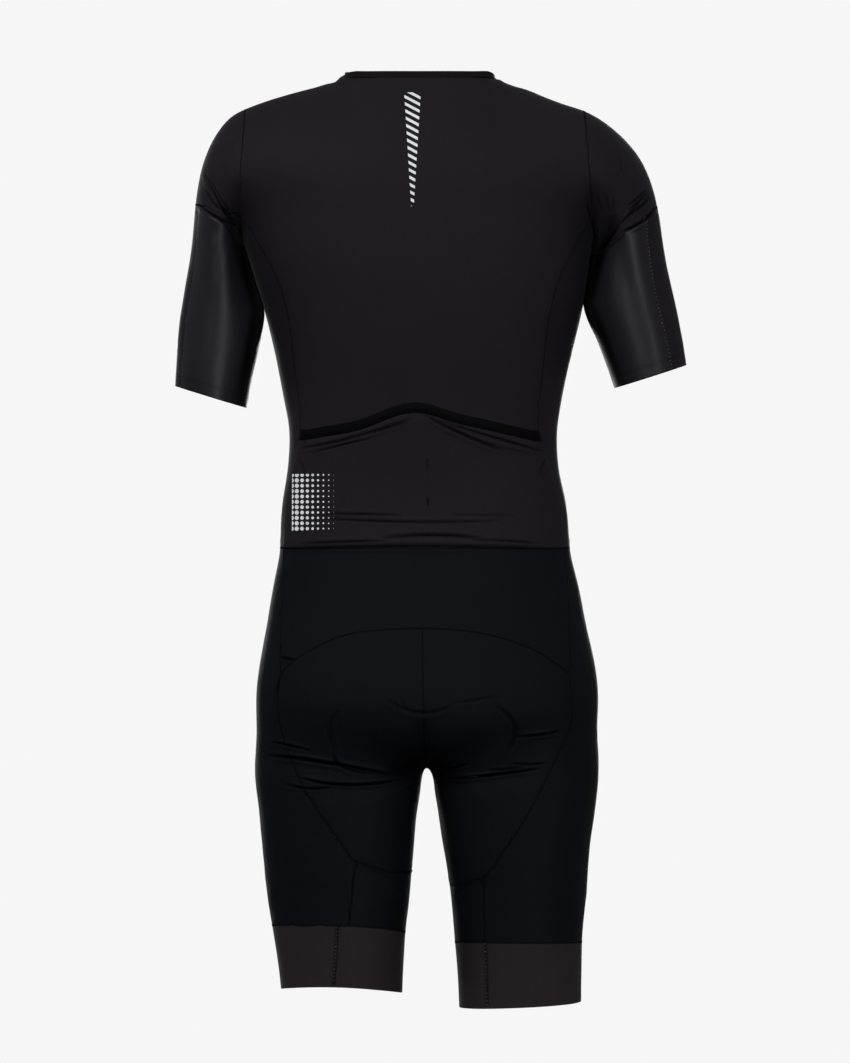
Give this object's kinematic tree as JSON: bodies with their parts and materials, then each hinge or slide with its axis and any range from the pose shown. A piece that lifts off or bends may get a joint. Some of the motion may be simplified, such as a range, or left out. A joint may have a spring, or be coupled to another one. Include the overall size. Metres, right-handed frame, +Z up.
{
  "type": "triathlon suit",
  "caption": "Short-sleeved triathlon suit in its worn form: hollow torso, sleeves and legs, front zip with a swinging pull, rear pocket, seat pad and leg grippers.",
  "frame": {"origin": "middle of the neck opening at the height of the back neck seam, where the wearer's neck and shoulders hold the suit up", "axes": "+X to the wearer's right, +Y out of the chest, +Z up"},
  "size_m": [0.5364, 0.2423, 0.9834],
  "materials": {
    "jersey": "matte fine knit",
    "satin": "sleek satin knit",
    "shorts": "compression knit",
    "gripper": "raw-cut power band",
    "elastic": "flat elastic",
    "binding": "folded knit binding",
    "pad": "moulded foam under knit",
    "zip_tape": "woven tape",
    "zip_coil": "nylon coil",
    "zip_metal": "black lacquered zinc"
  },
  "bodies": {
    "suit": {"neck_binding": "binding", "back": "jersey", "side_left": "jersey", "side_right": "jersey", "front_left": "jersey", "front_right": "jersey", "cap_left": "jersey", "cap_right": "jersey", "sleeve_back_left": "satin", "sleeve_back_right": "satin", "sleeve_front_left": "jersey", "sleeve_front_right": "jersey", "pocket_panel": "jersey", "pocket_band": "elastic", "yoke": "shorts", "seat_left": "shorts", "seat_right": "shorts", "leg_outer_left": "shorts", "leg_outer_right": "shorts", "leg_front_left": "shorts", "leg_front_right": "shorts", "cuff_left": "gripper", "cuff_right": "gripper", "pad": "pad", "zip_tape_left": "zip_tape", "zip_tape_right": "zip_tape", "zip_coil": "zip_coil", "zip_slider": "zip_metal"},
    "pull": {"zip_pull": "zip_metal"}
  },
  "joints": [
    {"name": "pull_swing", "type": "hinge", "parent": "suit", "child": "pull", "pos_m": [0.00043, 0.07873, -0.09345], "axis": [1, 0, 0], "range_deg": [0, 140]}
  ]
}
